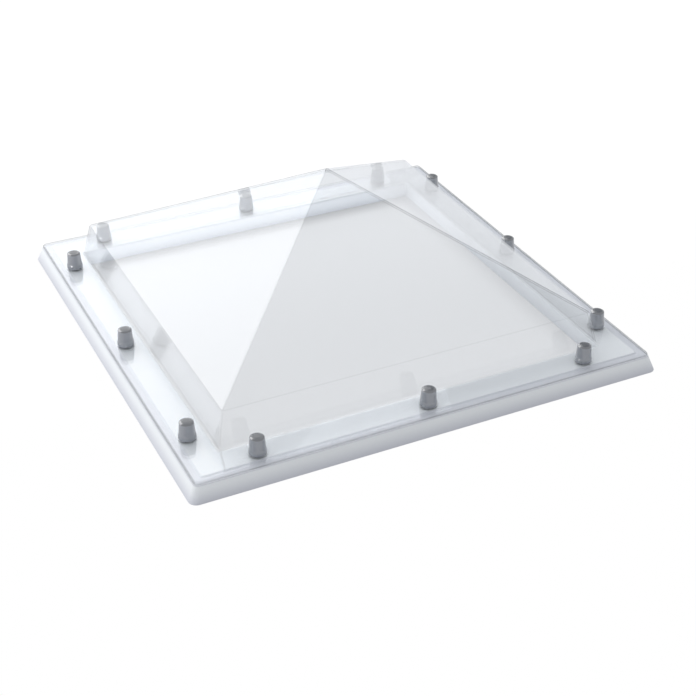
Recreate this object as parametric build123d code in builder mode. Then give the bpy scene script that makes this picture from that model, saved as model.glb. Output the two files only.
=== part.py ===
"""Fixed roof skylight: a clear pyramid dome screwed down on a white kerb frame.

Millimetres. The origin is the plan centre at the foot of the frame, with +Z up and the sides along X and Y.
"""

import os

from build123d import *

# Plan and section of the clear dome, outside faces
opening_width = 626.0
flange_span = 56.6
lip_drop = 4.5
upstand_height = 53.1
upstand_lean = 11.3
pyramid_rise = 171.7
tip_width = 6.0
dome_wall = 3.0

# Bends of the clear dome on the inside of the sheet, and its plan corners
hip_bend = 2.0
corner_bend = 2.5
ridge_bend = 2.5
foot_bend = 2.0
tip_bend = 4.0
lip_bend = 0.5
rim_corner = 7.0

# White frame under the dome's flange
frame_height = 26.5
frame_wall = 3.0
shoulder_span = 41.7
shoulder_drop = 1.9
shoulder_corner = 5.0
skirt_lead = 0.8
skirt_flare = 10.0
skirt_corner = 13.0
skirt_top_corner = 8.0
opening_corner = 5.0
edge_radius = 1.0

# Caps, seats and seals on the flange
fixing_setback = 28.5
corner_setback = 46.0
cap_foot_diameter = 26.0
cap_waist_diameter = 24.2
cap_top_diameter = 21.4
cap_height = 27.7
cap_foot_height = 5.0
cap_shoulder_height = 3.0
cap_wall = 1.8
cap_edge_radius = 2.6
seat_thickness = 4.0
seat_bevel = 0.8
snap_clearance = 0.1
seal_diameter = 18.0
seal_thickness = 1.5

# Screws through the stack
screw_shank_diameter = 4.2
screw_thread_diameter = 5.4
screw_head_flats = 8.0
screw_head_height = 4.5
screw_collar_diameter = 11.0
screw_collar_height = 1.2
screw_point_length = 6.0
screw_point_diameter = 0.6
screw_floor_clearance = 3.0
shank_clearance = 0.2
thread_clearance = 0.4
expansion_clearance = 1.8

# How far a cutting form runs past the face that it cuts
overrun = 2.0

# Levels and half widths that follow from the sizes above
flange_level = frame_height + dome_wall
upstand_level = flange_level + upstand_height
apex_level = upstand_level + pyramid_rise
upstand_foot = opening_width / 2
upstand_top = upstand_foot - upstand_lean
rim_edge = upstand_foot + flange_span
lip_level = flange_level - lip_drop

# Fixing places, side by side round the flange: the middle of each side and two near its corners
fixing_line = upstand_foot + fixing_setback
fixing_end = upstand_foot - corner_setback
fixing_places = [
    (along * turn_x + fixing_line * turn_y, along * turn_y - fixing_line * turn_x)
    for turn_x, turn_y in ((1, 0), (0, 1), (-1, 0), (0, -1))
    for along in (-fixing_end, 0, fixing_end)
]


def inset(before, corner, after, wall):
    """Corner of a section line moved inwards by a wall, for a line that climbs from the rim to the middle."""
    inward = []
    for start, end in ((before, corner), (corner, after)):
        run = (Vector(*end) - Vector(*start)).normalized()
        inward.append(Vector(-run.Y, run.X))
    mitre = inward[0] + inward[1]
    moved = Vector(*corner) + mitre * (wall / mitre.dot(inward[0]))
    return moved.X, moved.Y


def rounded_square(edge, level, corner):
    """Square outline of a half width at a level, with rounded corners."""
    with BuildSketch(Plane.XY.offset(level)) as outline:
        RectangleRounded(2 * edge, 2 * edge, corner)
    return outline.sketch


def frustum(lower, upper):
    """Straight-sided form between two rounded squares, each given as half width, level and corner radius."""
    loft([rounded_square(*lower), rounded_square(*upper)], ruled=True)


def roof(foot, top, tip, hip_radius, corner_radius, ridge_radius):
    """Upstand and pyramid where two prisms of one section cross, with rounded hips, corners and ridges."""
    outline = [foot, top, tip, (-tip[0], tip[1]), (-top[0], top[1]), (-foot[0], foot[1])]
    with BuildPart() as form:
        for plane, mode in ((Plane.XZ, Mode.ADD), (Plane.YZ, Mode.INTERSECT)):
            with BuildSketch(plane):
                with BuildLine():
                    Polyline(*outline, close=True)
                make_face()
            extrude(amount=foot[0] + overrun, both=True, mode=mode)
        slopes = form.edges().filter_by(lambda line: line.bounding_box().size.Z > dome_wall)
        hips, corners = slopes.group_by(lambda line: line.center().Z)[::-1]
        fillet(hips, hip_radius)
        corners = form.edges().filter_by(lambda line: line.bounding_box().min.Z < foot[1] + dome_wall)
        fillet(corners.filter_by(lambda line: line.bounding_box().size.Z > dome_wall), corner_radius)
        fillet(form.edges().filter_by_position(Axis.Z, top[1], top[1]), ridge_radius)
    return form.part


def bend_edges(form, edge, level):
    """Edges of a form at a level that lie within a half width of the middle."""
    at_level = form.edges().filter_by_position(Axis.Z, level, level)
    return at_level.filter_by(lambda line: line.bounding_box().max.X < edge + overrun)


# Outside section of the dome from the rim to the middle, as half width and level
dome_section = [
    (rim_edge, flange_level),
    (upstand_foot, flange_level),
    (upstand_top, upstand_level),
    (tip_width / 2, apex_level),
    (0, apex_level),
]
under_foot, under_top, under_tip = [inset(*dome_section[i - 1 : i + 2], dome_wall) for i in range(1, 4)]
under_rim = rim_edge - dome_wall

# Upstand and pyramid: the hollow, and the outside with every bend one wall larger
inner_roof = roof(under_foot, under_top, under_tip, hip_bend, corner_bend, ridge_bend)
outer_roof = roof(
    *dome_section[1:4], hip_bend + dome_wall, corner_bend + dome_wall, ridge_bend + dome_wall
)

# Hollow of the dome, which leaves an even wall under every face and bend
with BuildPart() as dome_hollow:
    with BuildSketch(Plane.XY.offset(frame_height)):
        RectangleRounded(2 * under_rim, 2 * under_rim, rim_corner - dome_wall)
    extrude(amount=lip_level - overrun - frame_height)
    fillet(bend_edges(dome_hollow, under_rim, frame_height), lip_bend)
    add(inner_roof)
    fillet(bend_edges(dome_hollow, *under_foot), foot_bend + dome_wall)

# Clear dome in one sheet: flange with a turned-down lip, and oversize holes to expand round the screws
with BuildPart() as outer_dome:
    with BuildSketch(Plane.XY.offset(flange_level)):
        RectangleRounded(2 * rim_edge, 2 * rim_edge, rim_corner)
    extrude(amount=-lip_drop)
    fillet(bend_edges(outer_dome, rim_edge, flange_level), lip_bend + dome_wall)
    add(outer_roof)
    fillet(bend_edges(outer_dome, tip_width / 2, apex_level), tip_bend + dome_wall)
    fillet(bend_edges(outer_dome, upstand_foot, flange_level), foot_bend)
    add(dome_hollow.part, mode=Mode.SUBTRACT)
    with BuildSketch(Plane.XY.offset(flange_level)):
        with Locations(*fixing_places):
            Circle(screw_thread_diameter / 2 + expansion_clearance)
    extrude(amount=-(dome_wall + overrun), mode=Mode.SUBTRACT)

# Outside section of the frame from the foot of the skirt over the ledge to the seat of the dome
shoulder_edge = upstand_foot + shoulder_span
ledge_level = frame_height - shoulder_drop
skirt_top = rim_edge + skirt_lead
skirt_foot = skirt_top + skirt_flare
frame_section = [(skirt_foot, 0), (skirt_top, ledge_level), (shoulder_edge, ledge_level)]
inner_skirt = inset(*frame_section, frame_wall)
inner_shoulder = shoulder_edge - frame_wall
inner_wall = upstand_foot + frame_wall
channel_foot = inner_skirt[0] + (inner_skirt[1] + overrun) * skirt_flare / ledge_level

# Space that the kerb stands in, between the inner wall and the skirt
with BuildPart() as kerb_channel:
    frustum(
        (channel_foot, -overrun, skirt_corner - frame_wall),
        (*inner_skirt, skirt_top_corner - frame_wall),
    )
    with BuildSketch(Plane.XY.offset(inner_skirt[1])):
        RectangleRounded(2 * inner_shoulder, 2 * inner_shoulder, shoulder_corner - frame_wall)
    extrude(amount=shoulder_drop)
    with BuildSketch(Plane.XY.offset(-overrun)):
        RectangleRounded(2 * inner_wall, 2 * inner_wall, opening_corner + frame_wall)
    extrude(amount=frame_height + 2 * overrun, mode=Mode.SUBTRACT)

# White frame in one moulding: skirt, ledge under the lip, raised seat and inner wall, open below
with BuildPart() as base_frame:
    frustum((skirt_foot, 0, skirt_corner), (skirt_top, ledge_level, skirt_top_corner))
    fillet(bend_edges(base_frame, skirt_top, ledge_level), edge_radius)
    with BuildSketch(Plane.XY.offset(ledge_level)):
        RectangleRounded(2 * shoulder_edge, 2 * shoulder_edge, shoulder_corner)
    extrude(amount=shoulder_drop)
    fillet(bend_edges(base_frame, shoulder_edge, frame_height), edge_radius)
    add(kerb_channel.part, mode=Mode.SUBTRACT)
    with BuildSketch():
        RectangleRounded(opening_width, opening_width, opening_corner)
    extrude(amount=frame_height + overrun, mode=Mode.SUBTRACT)
    with BuildSketch(Plane.XY.offset(frame_height)):
        with Locations(*fixing_places):
            Circle(screw_thread_diameter / 2 + thread_clearance)
    extrude(amount=-(frame_wall + overrun), mode=Mode.SUBTRACT)

# Soft rings between the seats and the dome's flange
with BuildPart() as sealing_washers:
    with BuildSketch(Plane.XY.offset(flange_level)):
        with Locations(*fixing_places):
            Circle(seal_diameter / 2)
            Circle(screw_shank_diameter / 2 + shank_clearance, mode=Mode.SUBTRACT)
    extrude(amount=seal_thickness)

# Screws from the head on the seat down to a point above the foot of the frame
seat_level = flange_level + seal_thickness
head_level = seat_level + seat_thickness
thread_level = frame_height - frame_wall
point_level = screw_floor_clearance + screw_point_length
with BuildPart() as fixing_screws:
    with BuildSketch(Plane.XY.offset(head_level)):
        with Locations(*fixing_places):
            RegularPolygon(screw_head_flats / 2, 6, major_radius=False)
    extrude(amount=screw_head_height)
    with BuildSketch(Plane.XY.offset(head_level)):
        with Locations(*fixing_places):
            Circle(screw_collar_diameter / 2)
    extrude(amount=screw_collar_height)
    with BuildSketch(Plane.XY.offset(head_level)):
        with Locations(*fixing_places):
            Circle(screw_shank_diameter / 2)
    extrude(amount=thread_level - head_level)
    with BuildSketch(Plane.XY.offset(thread_level)):
        with Locations(*fixing_places):
            Circle(screw_thread_diameter / 2)
    extrude(amount=point_level - thread_level)
    with Locations(*[(*place, screw_floor_clearance) for place in fixing_places]):
        Cone(
            screw_point_diameter / 2,
            screw_thread_diameter / 2,
            screw_point_length,
            align=(Align.CENTER, Align.CENTER, Align.MIN),
        )

# Half sections of the seat and the snap-on cap, as radius and height above the dome's flange
seat_edge = cap_foot_diameter / 2 - cap_wall - snap_clearance
seat_bore = screw_shank_diameter / 2 + shank_clearance
seat_top = seal_thickness + seat_thickness
seat_section = [
    (seat_bore, seal_thickness),
    (seat_edge, seal_thickness),
    (seat_edge, seat_top - seat_bevel),
    (seat_edge - seat_bevel, seat_top),
    (seat_bore, seat_top),
]
cap_foot = cap_foot_diameter / 2
cap_waist = cap_waist_diameter / 2
cap_top = cap_top_diameter / 2
cap_waist_level = cap_foot_height + cap_shoulder_height
cap_section = [
    (0, cap_height - cap_wall),
    (cap_top - cap_wall, cap_height - cap_wall),
    (cap_waist - cap_wall, cap_waist_level),
    (cap_foot - cap_wall, cap_foot_height),
    (cap_foot - cap_wall, 0),
    (cap_foot, 0),
    (cap_foot, cap_foot_height),
    (cap_waist, cap_waist_level),
    (cap_top, cap_height),
    (0, cap_height),
]

# Seats that the screws clamp, one over each seal
with BuildPart() as cap_seats:
    for place_x, place_y in fixing_places:
        with BuildSketch(Plane((place_x, place_y, flange_level), x_dir=(1, 0, 0), z_dir=(0, -1, 0))):
            with BuildLine():
                Polyline(*seat_section, close=True)
            make_face()
        revolve(axis=Axis((place_x, place_y, flange_level), (0, 0, 1)))

# Snap-on caps over the seats, with a flared foot and a rounded top edge
with BuildPart() as screw_caps:
    for place_x, place_y in fixing_places:
        with BuildSketch(Plane((place_x, place_y, flange_level), x_dir=(1, 0, 0), z_dir=(0, -1, 0))):
            with BuildLine():
                Polyline(*cap_section, close=True)
            make_face()
        revolve(axis=Axis((place_x, place_y, flange_level), (0, 0, 1)))
    fillet(screw_caps.edges().group_by(Axis.Z)[-1], cap_edge_radius)

nodes = {
    "outer_dome": outer_dome,
    "base_frame": base_frame,
    "screw_caps": screw_caps,
    "cap_seats": cap_seats,
    "sealing_washers": sealing_washers,
    "fixing_screws": fixing_screws,
}
os.makedirs("parts", exist_ok=True)
for name, node in nodes.items():
    node.part.label = name
    export_step(node.part, f"parts/{name}.step")
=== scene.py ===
import math

import bpy
from mathutils import Matrix, Vector


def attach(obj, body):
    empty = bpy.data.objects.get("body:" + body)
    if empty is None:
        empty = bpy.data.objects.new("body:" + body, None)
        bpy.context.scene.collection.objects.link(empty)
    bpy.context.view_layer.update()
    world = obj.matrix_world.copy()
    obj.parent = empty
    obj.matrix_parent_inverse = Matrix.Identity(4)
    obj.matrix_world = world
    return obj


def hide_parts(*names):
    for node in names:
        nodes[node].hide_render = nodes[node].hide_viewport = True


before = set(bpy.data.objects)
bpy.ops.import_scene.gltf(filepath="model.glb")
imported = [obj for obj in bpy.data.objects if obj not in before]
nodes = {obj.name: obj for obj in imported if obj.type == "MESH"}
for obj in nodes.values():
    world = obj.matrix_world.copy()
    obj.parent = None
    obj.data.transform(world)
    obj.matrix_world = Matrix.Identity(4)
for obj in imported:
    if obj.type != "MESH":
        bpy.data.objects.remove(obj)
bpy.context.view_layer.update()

# Roof skylight: a clear pyramid dome on a white frame, with grey covers over the fixing screws.
# Section sizes are in millimetres. Shading limits, the lamps and the camera are in metres.
MM = 0.001

# Clear dome: levels, half widths, plan corners outside and inside, and bends
FLANGE, UPSTAND, APEX = 29.5, 82.6, 254.3
WALL, RIM, LIP = 3.0, 369.6, 25.0
FOOT, RIDGE, TIP = (313.0, FLANGE), (301.7, UPSTAND), (3.0, APEX)
RIM_CORNER, FOOT_CORNERS, RIDGE_CORNERS, TIP_CORNERS = 7.0, (5.5, 2.5), (4.2, 1.8), (2.5, 1.0)
LIP_EDGE, RIM_BEND, FOOT_BEND, RIDGE_BEND, TIP_BENDS = 0.4, 0.5, 2.0, 2.5, (7.0, 3.0)
MIDDLE, MIDDLE_CORNER, ROUNDEST = 0.02, 0.01, 0.98
RIM_ZONE, LONGEST_RUN = 5.0, 14.0

# White frame: levels, half widths, plan corners and edges
FRAME_WALL, FRAME_TOP, LEDGE = 3.0, 26.5, 24.6
SHOULDER, SKIRT_TOP, SKIRT_FOOT = 354.7, 370.4, 380.4
SEAT_GAP, INNER_EDGE, RISER_RUN, FOOT_RUN = 0.12, 3.5, 2.5, 1.5
SEAT_CORNER, SKIRT_TOP_CORNER, SKIRT_CORNER = 5.0, 8.0, 13.0
WALL_CORNER, HOLLOW_CORNER, HOLLOW_FOOT_CORNER, UNDER_CORNER = 8.0, 2.0, 10.0, 12.0
SOFT_EDGE, HOLLOW_EDGE, FOOT_EDGE, STEP_EDGE = 1.0, 0.8, 0.5, 0.4

# Grey covers: radius, height over the flange and bend of each corner of the turned section
CAP_SECTION = (
    (0.0, 27.7, 0.0),
    (4.0, 27.6, 6.0),
    (7.6, 27.0, 6.0),
    (10.6, 25.6, 1.6),
    (12.05, 8.4, 6.0),
    (13.0, 5.2, 2.0),
    (13.0, 0.0, 0.5),
    (11.2, 0.0, 0.3),
    (11.2, 5.0, 1.0),
    (10.3, 8.0, 1.0),
    (8.9, 25.7, 1.0),
    (0.0, 25.7, 0.0),
)

# Fixing places, three on each side, and the holes there
FIXING_LINE, FIXING_END = 341.5, 267.0
DOME_HOLE, FRAME_HOLE, OVERRUN = 4.5, 3.1, 2
PLACES = [
    (a * tx + FIXING_LINE * ty, a * ty - FIXING_LINE * tx)
    for tx, ty in ((1, 0), (0, 1), (-1, 0), (0, -1))
    for a in (-FIXING_END, 0.0, FIXING_END)
]

# Fineness of the meshes, and the angles above which an edge stays sharp
ARC_STEPS, CAP_ARC_STEPS, CORNER_STEPS, HOLE_SIDES, CAP_SIDES = 9, 6, 12, 32, 64
SHARP, CAP_SHARP, FLAT_WEIGHT = 40, 50, 90

# Opaque finishes: roughness, scale, strength and depth of the grain, and the two ends of the tone
FINISHES = {
    "white_frame": (0.42, 900.0, 0.05, 0.0002, (0.85, 0.866, 0.882), (0.88, 0.896, 0.908)),
    "grey_cap": (0.3, 1400.0, 0.05, 0.0002, (0.2, 0.214, 0.246), (0.22, 0.234, 0.266)),
    "cap_seat": (0.5, 1200.0, 0.08, 0.0002, (0.2, 0.21, 0.23), (0.23, 0.24, 0.26)),
    "soft_seal": (0.75, 1500.0, 0.2, 0.0003, (0.02, 0.02, 0.021), (0.035, 0.035, 0.037)),
    "steel_screw": (0.32, 700.0, 0.05, 0.0002, (0.55, 0.55, 0.56), (0.65, 0.65, 0.66)),
}
GRAIN_DETAIL, TONE_SPREAD = 4.0, (0.3, 0.7)

WHITE, FADE = (1, 1, 1, 1), (1.0, 0.0)

# Clear sheet: mirror, colour of what passes, and painted dark lines along the bends that stand in for the
# light they bend away
MIRROR, MIRROR_METAL, MIRROR_ROUGHNESS = (0.97, 0.98, 1.0, 1), 0.75, 0.0
GLOSS, GRAZING_POWER = 0.065, 5.0
SHEET_TINT = (("Red", 0.992), ("Green", 0.996), ("Blue", 1.0))
HIP_SHADE, RIDGE_SHADE, FOOT_SHADE, RIM_SHADE, LINE_SHADE = 0.95, 0.7, 0.2, 0.7, 0.06
ENTERING, LEAVING = 0.15, 0.85
HIP_WIDTH, ABOVE_FLANGE = (0.0003, 0.0012), (0.031, 0.034)
RIDGE_WIDTH, NEAR_RIDGE = (0.0002, 0.0011), (0.2985, 0.3)
FOOT_WIDTH, NEAR_FLANGE = (0.001, 0.004), (0.033, 0.036)
RIM_WIDTH = ((RIM - 4.0) * MM, (RIM - 1.5) * MM)
TURNING, TURNED_AWAY, OUTLINE = (0.28, 0.48), (0.7, 0.85), (0.75, 0.92)

# White frame: painted shade, how far it darkens towards the floor and on the ledge under the lip, and the
# tint of the shaded parts
INNER_SHADE, SKIRT_SHADE, LEDGE_SHADE = 0.08, 0.27, 0.18
LOW_PART, INNER_TO_SKIRT = (-0.004, 0.022), (0.325, 0.335)
LEDGE_START, LEDGE_LEVEL = (0.3535, 0.3555), (0.0225, 0.024)
SHADE_TINT = (("X", 1.06), ("Y", 1.08), ("Z", 0.88))

# Grey covers: a glossy coat on the sides and edges, a duller top, and painted shade that makes the top
# darker
COAT_IOR, COAT_ROUGHNESS, TOP_COAT, TOP_PAINTED_SHADE = 2.3, 0.08, 0.12, 0.42
TOP_TURN, FLAT_TOP = (0.3, 0.8), (0.95, 0.99)

# Floor: tone, the share of white where it is seen through or mirrored, painted contact shadow, painted
# light towards the back, and painted extra bounce light
FLOOR_REACH, FLOOR_TONE, FLOOR_ROUGHNESS = 30, (0.62, 0.63, 0.65, 1), 0.9
SEEN_FLOOR, FIRST_SURFACE = 0.45, 0.5
CONTACT_REACH, CONTACT_PLACE, CONTACT_SHARE = 0.04, (0.1, 0.29), (0.2, 0.54)
RISE_PLACE, RISE_SHARE = (-0.15, 0.25), (1.0, 1.05)
OPENING, INNER_PLACE, INNER_BOUNCE = (0.313, 0.314), (0.0, 0.28), (0.1, 1.5)
LEFT_PLACE, LEFT_BOUNCE = (-0.38, -0.37), (0.5, 0.0)

# Room, and lamps as name, place, aim, width and height, and watts
ROOM_TONE, ROOM_STRENGTH = (0.96, 0.98, 1.0, 1), 0.7
LAMPS = (
    ("key", (-0.6, 2.4, 1.9), (-0.6, 0, 0.1), (4.4, 2.6), 64.0),
    ("side", (-1.6, 0.1, 0.09), (0, 0.1, 0.0), (1.6, 0.12), 3.0),
)

# Camera at the photo's angle
LENS, SENSOR = 72.65, 36.0
AZIMUTH, ELEVATION, ROLL = (math.radians(a) for a in (-26.245, 32.761, 0.338))
AIM, DISTANCE = (-0.04436, -0.16861, 0.037), 2.13649


def inset(before, corner, after, wall):
    """Corner of a section line moved inwards by a wall."""
    n = []
    for s, e in ((before, corner), (corner, after)):
        run = (Vector(e) - Vector(s)).normalized()
        n.append(Vector((-run.y, run.x)))
    mitre = n[0] + n[1]
    return tuple(Vector(corner) + mitre * (wall / mitre.dot(n[0])))


def bent(points, steps=ARC_STEPS):
    """Section line with an arc at each corner, from points of half width, level, plan corner and radius."""
    out = []
    for i, (x, z, c, r) in enumerate(points):
        if r <= 0 or i in (0, len(points) - 1):
            out.append((x, z, c))
            continue
        p, a, b = (Vector(q[:2]) for q in (points[i], points[i - 1], points[i + 1]))
        u, v = (a - p).normalized(), (b - p).normalized()
        half = u.angle(v) / 2
        t = r / math.tan(half)
        centre = p + (u + v).normalized() * (r / math.sin(half))
        start, end = p + u * t - centre, p + v * t - centre
        turn = start.angle_signed(end)
        ca = c + (points[i - 1][2] - c) * t / (a - p).length
        cb = c + (points[i + 1][2] - c) * t / (b - p).length
        for k in range(steps + 1):
            s = k / steps
            q = centre + Matrix.Rotation(-turn * s, 2) @ start
            out.append((q.x, q.y, ca + (cb - ca) * s))
    return out


def divided(section, longest):
    """Closed section line with its long straight runs cut into short ones."""
    out = []
    for a, b in zip(section, section[1:] + section[:1]):
        n = max(1, math.ceil(math.hypot(b[0] - a[0], b[1] - a[1]) / longest))
        out += [tuple(u + (v - u) * k / n for u, v in zip(a, b)) for k in range(n)]
    return out


def ring(half, level, corner):
    """Points of a rounded square, anticlockwise from the corner at +X +Y."""
    corner = min(corner, half * ROUNDEST)
    points = []
    for k, (sx, sy) in enumerate(((1, 1), (-1, 1), (-1, -1), (1, -1))):
        for j in range(CORNER_STEPS + 1):
            a = math.pi / 2 * (k + j / CORNER_STEPS)
            x = sx * (half - corner) + corner * math.cos(a)
            y = sy * (half - corner) + corner * math.sin(a)
            points.append((x * MM, y * MM, level * MM))
    return points


def circle(px, py, radius, level, sides):
    """Points of a circle round a fixing place."""
    turns = (2 * math.pi * j / sides for j in range(sides))
    return [
        ((px + radius * math.cos(a)) * MM, (py + radius * math.sin(a)) * MM, level * MM) for a in turns
    ]


def new_object(name, verts, faces):
    mesh = bpy.data.meshes.new(name)
    mesh.from_pydata(verts, [], faces)
    mesh.validate()
    mesh.update()
    ob = bpy.data.objects.new(name, mesh)
    bpy.context.scene.collection.objects.link(ob)
    return ob


def swept(name, section):
    """Mesh of a closed section carried round the square."""
    verts, faces = [], []
    n = 4 * (CORNER_STEPS + 1)
    for half, level, corner in section:
        verts += ring(half, level, corner)
    rows = len(section)
    for i in range(rows):
        a, b = i * n, (i + 1) % rows * n
        for j in range(n):
            k = (j + 1) % n
            faces.append((a + j, a + k, b + k, b + j))
    return new_object(name, verts, faces)


def drill(ob, radius, low, high):
    """Round holes through a mesh at every fixing place."""
    verts, faces = [], []
    n = HOLE_SIDES
    for px, py in PLACES:
        base = len(verts)
        verts += circle(px, py, radius, low, n) + circle(px, py, radius, high, n)
        for j in range(n):
            k = (j + 1) % n
            faces.append((base + j, base + k, base + n + k, base + n + j))
        faces.append(tuple(base + j for j in range(n - 1, -1, -1)))
        faces.append(tuple(base + n + j for j in range(n)))
    cutter = new_object(ob.name + "_drill", verts, faces)
    modifier = ob.modifiers.new("holes", "BOOLEAN")
    modifier.operation, modifier.solver, modifier.object = "DIFFERENCE", "EXACT", cutter
    bake_modifiers(ob)
    bpy.data.objects.remove(cutter)


def bake_modifiers(ob):
    """Puts the shape that the modifiers give into the mesh."""
    shown = ob.evaluated_get(bpy.context.evaluated_depsgraph_get())
    mesh = bpy.data.meshes.new_from_object(shown)
    ob.modifiers.clear()
    ob.data = mesh


def smooth(ob, degrees):
    """Smooth shading that leaves edges sharper than an angle, with the large flat faces kept flat."""
    mesh = ob.data
    for face in mesh.polygons:
        face.use_smooth = True
    mesh.set_sharp_from_angle(angle=math.radians(degrees))
    modifier = ob.modifiers.new("flat_faces", "WEIGHTED_NORMAL")
    modifier.keep_sharp = True
    modifier.weight = FLAT_WEIGHT


# Clear dome: one sheet, with its outside, its turned-down lip and its hollow as one closed section
section = [(RIM, FLANGE), FOOT, RIDGE, TIP, (0.0, APEX)]
under_foot, under_ridge, under_tip = [inset(*section[i - 1 : i + 2], WALL) for i in range(1, 4)]
under_rim, under_rim_corner = RIM - WALL, RIM_CORNER - WALL
outside = bent(
    [
        (under_rim, LIP, under_rim_corner, 0.0),
        (RIM, LIP, RIM_CORNER, LIP_EDGE),
        (RIM, FLANGE, RIM_CORNER, RIM_BEND + WALL),
        (*FOOT, FOOT_CORNERS[0], FOOT_BEND),
        (*RIDGE, RIDGE_CORNERS[0], RIDGE_BEND + WALL),
        (*TIP, TIP_CORNERS[0], TIP_BENDS[0]),
        (MIDDLE, APEX, MIDDLE_CORNER, 0.0),
    ]
)[1:]
inside = bent(
    [
        (MIDDLE, under_tip[1], MIDDLE_CORNER, 0.0),
        (*under_tip, TIP_CORNERS[1], TIP_BENDS[1]),
        (*under_ridge, RIDGE_CORNERS[1], RIDGE_BEND),
        (*under_foot, FOOT_CORNERS[1], FOOT_BEND + WALL),
        (under_rim, FRAME_TOP, under_rim_corner, RIM_BEND),
        (under_rim, LIP, under_rim_corner, LIP_EDGE),
        (RIM, LIP, RIM_CORNER, 0.0),
    ]
)[:-1]
dome_section = [
    (h, z, h - RIM + RIM_CORNER if h > RIM - RIM_ZONE else c) for h, z, c in outside + inside
]
dome = swept("clear_dome", divided(dome_section, LONGEST_RUN))
drill(dome, DOME_HOLE, FRAME_TOP - OVERRUN, FLANGE + OVERRUN)
smooth(dome, SHARP)

# White frame: skirt, ledge under the lip, raised seat and inner wall as one closed section
in_skirt = inset((SKIRT_FOOT, 0.0), (SKIRT_TOP, LEDGE), (SHOULDER, LEDGE), FRAME_WALL)
in_foot = in_skirt[0] + in_skirt[1] * (SKIRT_FOOT - SKIRT_TOP) / LEDGE
seat_level, hollow_level = FRAME_TOP - SEAT_GAP, FRAME_TOP - FRAME_WALL
frame_section = bent(
    [
        (SKIRT_FOOT - FOOT_RUN, 0.0, UNDER_CORNER, 0.0),
        (SKIRT_FOOT, 0.0, SKIRT_CORNER, FOOT_EDGE),
        (SKIRT_TOP, LEDGE, SKIRT_TOP_CORNER, SOFT_EDGE),
        (SHOULDER + RISER_RUN, LEDGE, SEAT_CORNER, STEP_EDGE),
        (SHOULDER, seat_level, SEAT_CORNER, SOFT_EDGE),
        (FOOT[0], seat_level, SEAT_CORNER, INNER_EDGE),
        (FOOT[0], 0.0, SEAT_CORNER, FOOT_EDGE),
        (FOOT[0] + FRAME_WALL, 0.0, WALL_CORNER, FOOT_EDGE),
        (FOOT[0] + FRAME_WALL, hollow_level, WALL_CORNER, INNER_EDGE - FRAME_WALL),
        (SHOULDER - FRAME_WALL, hollow_level, HOLLOW_CORNER, STEP_EDGE),
        (SHOULDER - FRAME_WALL, in_skirt[1], HOLLOW_CORNER, STEP_EDGE),
        (*in_skirt, SEAT_CORNER, HOLLOW_EDGE),
        (in_foot, 0.0, HOLLOW_FOOT_CORNER, FOOT_EDGE),
        (SKIRT_FOOT - FOOT_RUN, 0.0, UNDER_CORNER, 0.0),
    ]
)[:-1]
base = swept("white_frame", frame_section)
drill(base, FRAME_HOLE, hollow_level - OVERRUN, FRAME_TOP + OVERRUN)
smooth(base, SHARP)

# Grey covers: turned shells with a flared foot and a low rounded top
cap_section = bent([(r, z, 0, bend) for r, z, bend in CAP_SECTION], steps=CAP_ARC_STEPS)
verts, faces = [], []
for px, py in PLACES:
    start = len(verts)
    for r, z, _ in cap_section[1:-1]:
        verts += circle(px, py, r, FLANGE + z, CAP_SIDES)
    rows = len(cap_section) - 2
    for i in range(rows - 1):
        for j in range(CAP_SIDES):
            k = (j + 1) % CAP_SIDES
            a, b = start + i * CAP_SIDES, start + (i + 1) * CAP_SIDES
            faces.append((a + k, a + j, b + j, b + k))
    top, bottom = len(verts), len(verts) + 1
    verts.append((px * MM, py * MM, (FLANGE + cap_section[0][1]) * MM))
    verts.append((px * MM, py * MM, (FLANGE + cap_section[-1][1]) * MM))
    last = start + (rows - 1) * CAP_SIDES
    for j in range(CAP_SIDES):
        k = (j + 1) % CAP_SIDES
        faces.append((top, start + j, start + k))
        faces.append((bottom, last + k, last + j))
caps = new_object("grey_caps", verts, faces)
smooth(caps, CAP_SHARP)


def material(name):
    mat = bpy.data.materials.new(name)
    mat.use_nodes = True
    tree = mat.node_tree
    return mat, tree, tree.nodes["Principled BSDF"], tree.nodes["Material Output"]


def finished(name):
    """Opaque material with a fine moulded grain and slight changes of tone, and the socket of that tone."""
    roughness, scale, strength, depth, low, high = FINISHES[name]
    mat, tree, bsdf, _ = material(name)
    bsdf.inputs["Roughness"].default_value = roughness
    place = tree.nodes.new("ShaderNodeTexCoord")
    noise = tree.nodes.new("ShaderNodeTexNoise")
    noise.inputs["Scale"].default_value = scale
    noise.inputs["Detail"].default_value = GRAIN_DETAIL
    bump = tree.nodes.new("ShaderNodeBump")
    bump.inputs["Strength"].default_value = strength
    bump.inputs["Distance"].default_value = depth
    ramp = tree.nodes.new("ShaderNodeValToRGB")
    for element, stop, colour in zip(ramp.color_ramp.elements, TONE_SPREAD, (low, high)):
        element.position, element.color = stop, (*colour, 1)
    tree.links.new(place.outputs["Object"], noise.inputs["Vector"])
    tree.links.new(noise.outputs["Fac"], bump.inputs["Height"])
    tree.links.new(bump.outputs["Normal"], bsdf.inputs["Normal"])
    tree.links.new(noise.outputs["Fac"], ramp.inputs["Fac"])
    tree.links.new(ramp.outputs["Color"], bsdf.inputs["Base Color"])
    return mat, tree, bsdf, ramp.outputs["Color"]


def calc(tree, operation, *values):
    """Result of a sum on sockets and plain numbers."""
    node = tree.nodes.new("ShaderNodeMath")
    node.operation = operation
    for slot, value in zip(node.inputs, values):
        if isinstance(value, (int, float)):
            slot.default_value = value
        else:
            tree.links.new(value, slot)
    return node.outputs[0]


def product(tree, first, *others):
    for other in others:
        first = calc(tree, "MULTIPLY", first, other)
    return first


def largest(tree, first, *others):
    for other in others:
        first = calc(tree, "MAXIMUM", first, other)
    return first


def away_from(tree, value, number):
    return calc(tree, "ABSOLUTE", calc(tree, "SUBTRACT", value, number))


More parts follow.
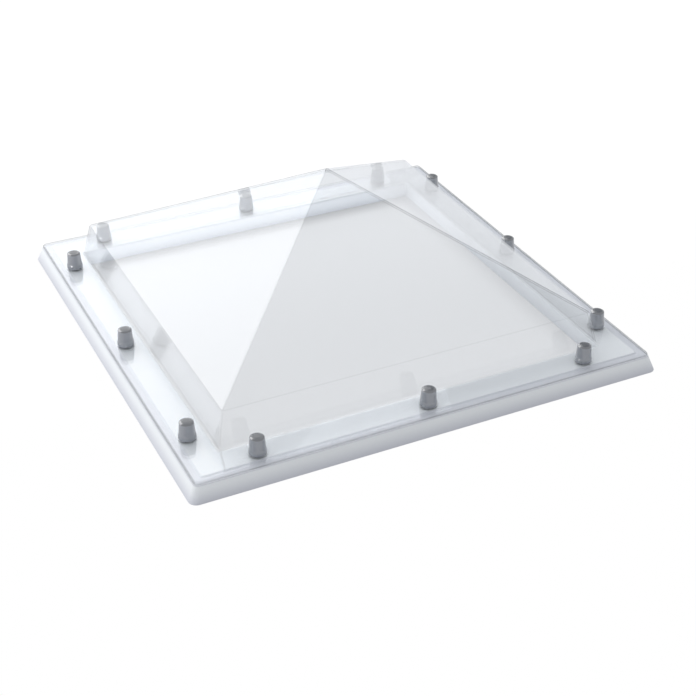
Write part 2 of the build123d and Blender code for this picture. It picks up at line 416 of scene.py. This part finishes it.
def ramped(tree, value, limits, ends=(0.0, 1.0)):
    """Smooth step of a value between two limits."""
    node = tree.nodes.new("ShaderNodeMapRange")
    node.interpolation_type = "SMOOTHSTEP"
    tree.links.new(value, node.inputs["Value"])
    for name, number in zip(("From Min", "From Max", "To Min", "To Max"), (*limits, *ends)):
        node.inputs[name].default_value = number
    return node.outputs["Result"]


def shaded(tree, colour, factor):
    """Colour times a factor."""
    times = tree.nodes.new("ShaderNodeVectorMath")
    times.operation = "SCALE"
    tree.links.new(colour, times.inputs[0])
    tree.links.new(factor, times.inputs["Scale"])
    return times.outputs[0]


def position(tree):
    """Sockets of X, Y and Z, of the sizes of X and Y, and of the larger of those two."""
    place = tree.nodes.new("ShaderNodeTexCoord")
    axes = tree.nodes.new("ShaderNodeSeparateXYZ")
    tree.links.new(place.outputs["Object"], axes.inputs[0])
    x, y = (calc(tree, "ABSOLUTE", axes.outputs[k]) for k in ("X", "Y"))
    return axes.outputs, x, y, calc(tree, "MAXIMUM", x, y)


def mixed(tree, share, first, second, output):
    """Two shaders mixed by a share of the second."""
    mix = tree.nodes.new("ShaderNodeMixShader")
    for value, slot in zip((share, first, second), mix.inputs):
        tree.links.new(value, slot)
    tree.links.new(mix.outputs[0], output.inputs["Surface"])


# Clear sheet: what is behind shows through, and a mirror image lies over it.
# No light bends in it, so the dark lines of its bends are painted shade along the hips, ridge, foot and
# rim, stronger where the sheet is seen edge-on, and they cast no shadow.
clear, tree, bsdf, output = material("clear_sheet")
bsdf.inputs["Base Color"].default_value = MIRROR
bsdf.inputs["Metallic"].default_value = MIRROR_METAL
bsdf.inputs["Roughness"].default_value = MIRROR_ROUGHNESS
axes, x, y, half = position(tree)
slant = tree.nodes.new("ShaderNodeLayerWeight").outputs["Facing"]
side = tree.nodes.new("ShaderNodeNewGeometry")
path = tree.nodes.new("ShaderNodeLightPath")
hip = product(
    tree,
    ramped(tree, away_from(tree, x, y), HIP_WIDTH, FADE),
    ramped(tree, axes["Z"], ABOVE_FLANGE),
)
ridge = product(
    tree,
    ramped(tree, away_from(tree, axes["Z"], UPSTAND * MM), RIDGE_WIDTH, FADE),
    ramped(tree, half, NEAR_RIDGE),
)
foot = product(
    tree,
    ramped(tree, away_from(tree, half, FOOT[0] * MM), FOOT_WIDTH, (FOOT_SHADE, 0.0)),
    ramped(tree, axes["Z"], NEAR_FLANGE, FADE),
)
rim = ramped(tree, half, RIM_WIDTH, (0.0, RIM_SHADE))
turned = product(tree, ramped(tree, slant, TURNING), ramped(tree, slant, TURNED_AWAY, FADE))
leaving = calc(tree, "MULTIPLY_ADD", side.outputs["Backfacing"], LEAVING, ENTERING)
# painted shade along the bends, darker where the sheet is seen edge-on
painted_line_shade = largest(
    tree,
    product(tree, hip, turned, HIP_SHADE),
    product(tree, ridge, ramped(tree, slant, OUTLINE), RIDGE_SHADE),
    product(tree, largest(tree, hip, ridge), LINE_SHADE),
    product(tree, largest(tree, foot, rim), slant, leaving),
)
painted_line_shade = product(tree, painted_line_shade, calc(tree, "SUBTRACT", 1.0, path.outputs["Is Shadow Ray"]))
passed = calc(tree, "SUBTRACT", 1.0, painted_line_shade)
tint = tree.nodes.new("ShaderNodeCombineColor")
for k, share in SHEET_TINT:
    tree.links.new(product(tree, passed, share), tint.inputs[k])
through = tree.nodes.new("ShaderNodeBsdfTransparent")
tree.links.new(tint.outputs[0], through.inputs["Color"])
gloss = calc(tree, "MULTIPLY_ADD", calc(tree, "POWER", slant, GRAZING_POWER), 1.0 - GLOSS, GLOSS)
mixed(tree, gloss, through.outputs[0], bsdf.outputs[0], output)

# White frame: painted shade, dimmer and a little bluer near the floor and on the ledge under the lip, in
# place of contact shadow
white, tree, bsdf, plain = finished("white_frame")
axes, _, _, half = position(tree)
# painted contact shade, darker towards the floor, weaker on the inner wall than on the skirt
low = product(
    tree,
    ramped(tree, axes["Z"], LOW_PART, FADE),
    ramped(tree, half, INNER_TO_SKIRT, (INNER_SHADE, SKIRT_SHADE)),
)
# painted shade on the ledge under the lip
painted_ledge_shade = product(
    tree,
    ramped(tree, half, LEDGE_START, (0.0, LEDGE_SHADE)),
    ramped(tree, axes["Z"], LEDGE_LEVEL),
)
painted_frame_shade = largest(tree, low, painted_ledge_shade)
# the painted shade, a little bluer than grey, multiplies the frame's tone
light = tree.nodes.new("ShaderNodeCombineXYZ")
for k, share in SHADE_TINT:
    tree.links.new(calc(tree, "MULTIPLY_ADD", painted_frame_shade, -share, 1.0), light.inputs[k])
times = tree.nodes.new("ShaderNodeVectorMath")
times.operation = "MULTIPLY"
tree.links.new(plain, times.inputs[0])
tree.links.new(light.outputs[0], times.inputs[1])
tree.links.new(times.outputs[0], bsdf.inputs["Base Color"])

# Grey covers, with painted shade on the top
grey, tree, bsdf, plain = finished("grey_cap")
bsdf.inputs["Coat IOR"].default_value = COAT_IOR
bsdf.inputs["Coat Roughness"].default_value = COAT_ROUGHNESS
way = tree.nodes.new("ShaderNodeNewGeometry")
split = tree.nodes.new("ShaderNodeSeparateXYZ")
tree.links.new(way.outputs["Normal"], split.inputs[0])
coat = ramped(tree, split.outputs["Z"], FLAT_TOP, (1.0, TOP_COAT))
tree.links.new(coat, bsdf.inputs["Coat Weight"])
# painted shade: the top faces darkened to a share of the sides' tone
sides = ramped(tree, split.outputs["Z"], TOP_TURN, FADE)
sides = calc(tree, "MULTIPLY_ADD", sides, 1.0 - TOP_PAINTED_SHADE, TOP_PAINTED_SHADE)
tree.links.new(shaded(tree, plain, sides), bsdf.inputs["Base Color"])

# Hidden pieces
seat, seal = finished("cap_seat")[0], finished("soft_seal")[0]
steel, _, bsdf, _ = finished("steel_screw")
bsdf.inputs["Metallic"].default_value = 1.0

for ob, mat, node, slot in (
    (dome, clear, "outer_dome", "clear_sheet"),
    (base, white, "base_frame", "white_frame"),
    (caps, grey, "screw_caps", "grey_cap"),
):
    ob.data.materials.clear()
    ob.data.materials.append(mat)
    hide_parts(node)
    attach(ob, "root")
for node, mat in (("cap_seats", seat), ("sealing_washers", seal), ("fixing_screws", steel)):
    nodes[node].data.materials.clear()
    nodes[node].data.materials.append(mat)

# Pale floor, plain white to the eye; where it is seen through the dome it has painted contact shadow and
# painted light, and it bounces more light than its colour inside the opening and at the left
corners = [(sx * FLOOR_REACH, sy * FLOOR_REACH, 0) for sx, sy in ((-1, -1), (1, -1), (1, 1), (-1, 1))]
floor = new_object("floor", corners, [(0, 1, 2, 3)])
pale, tree, bsdf, output = material("floor")
bsdf.inputs["Roughness"].default_value = FLOOR_ROUGHNESS
bsdf.inputs["Specular IOR Level"].default_value = 0.0
glow = tree.nodes.new("ShaderNodeEmission")
glow.inputs["Color"].default_value = WHITE
path = tree.nodes.new("ShaderNodeLightPath")
lit = tree.nodes.new("ShaderNodeRGB")
lit.outputs[0].default_value = FLOOR_TONE
axes, _, _, half = position(tree)
# painted contact shadow from an occlusion node, stronger towards the back
near = tree.nodes.new("ShaderNodeAmbientOcclusion")
near.inputs["Distance"].default_value = CONTACT_REACH
painted_contact_shadow = calc(tree, "SUBTRACT", 1.0, near.outputs["AO"])
painted_contact_shadow = product(tree, painted_contact_shadow, ramped(tree, axes["Y"], CONTACT_PLACE, CONTACT_SHARE))
# painted light: the floor brighter towards the back
painted_back_light = ramped(tree, axes["Y"], RISE_PLACE, RISE_SHARE)
shade = product(tree, calc(tree, "SUBTRACT", 1.0, painted_contact_shadow), painted_back_light)
# painted bounce light: for diffuse rays the floor is brighter than its colour inside the opening and at the
# left
within = ramped(tree, half, OPENING, FADE)
within = product(tree, within, ramped(tree, axes["Y"], INNER_PLACE, INNER_BOUNCE))
painted_bounce_gain = largest(tree, within, ramped(tree, axes["X"], LEFT_PLACE, LEFT_BOUNCE))
bounce = calc(tree, "MULTIPLY_ADD", path.outputs["Is Diffuse Ray"], painted_bounce_gain, 1.0)
tree.links.new(shaded(tree, lit.outputs[0], product(tree, shade, bounce)), bsdf.inputs["Base Color"])
direct = calc(tree, "LESS_THAN", path.outputs["Transparent Depth"], FIRST_SURFACE)
direct = product(tree, direct, path.outputs["Is Camera Ray"])
seen = largest(tree, *(path.outputs[f"Is {k} Ray"] for k in ("Camera", "Glossy", "Transmission")))
tree.links.new(largest(tree, direct, shade), glow.inputs["Strength"])
share = largest(tree, direct, product(tree, seen, SEEN_FLOOR))
mixed(tree, share, bsdf.outputs[0], glow.outputs[0], output)
floor.data.materials.append(pale)

# Soft studio light: an even pale room that is white to the eye, a large panel behind, and a low strip at
# the left
world = bpy.data.worlds.new("room")
bpy.context.scene.world = world
world.use_nodes = True
tree = world.node_tree
room = tree.nodes["Background"]
room.inputs["Color"].default_value = ROOM_TONE
room.inputs["Strength"].default_value = ROOM_STRENGTH
bright = tree.nodes.new("ShaderNodeBackground")
bright.inputs["Color"].default_value = WHITE
path = tree.nodes.new("ShaderNodeLightPath")
mixed(tree, path.outputs["Is Camera Ray"], room.outputs[0], bright.outputs[0], tree.nodes["World Output"])
for name, place, aim, (width, height), watts in LAMPS:
    lamp = bpy.data.lights.new(name, "AREA")
    lamp.shape, lamp.size, lamp.size_y, lamp.energy = "RECTANGLE", width, height, watts
    ob = bpy.data.objects.new(name, lamp)
    ob.location = place
    ob.rotation_euler = (Vector(aim) - Vector(place)).to_track_quat("-Z", "Y").to_euler()
    bpy.context.scene.collection.objects.link(ob)

# Camera
camera = bpy.data.objects.new("camera", bpy.data.cameras.new("camera"))
camera.data.lens, camera.data.sensor_width = LENS, SENSOR
flat = math.cos(ELEVATION)
away = Vector((math.sin(AZIMUTH) * flat, -math.cos(AZIMUTH) * flat, math.sin(ELEVATION)))
right = Vector((0, 0, 1)).cross(away).normalized()
up = away.cross(right)
right, up = (
    right * math.cos(ROLL) + up * math.sin(ROLL),
    up * math.cos(ROLL) - right * math.sin(ROLL),
)
place = Vector(AIM) + away * DISTANCE
basis = Matrix((right, up, away)).transposed()
camera.matrix_world = Matrix.Translation(place) @ basis.to_4x4()
bpy.context.scene.collection.objects.link(camera)
bpy.context.scene.camera = camera
bpy.context.scene.view_settings.view_transform = "Standard"
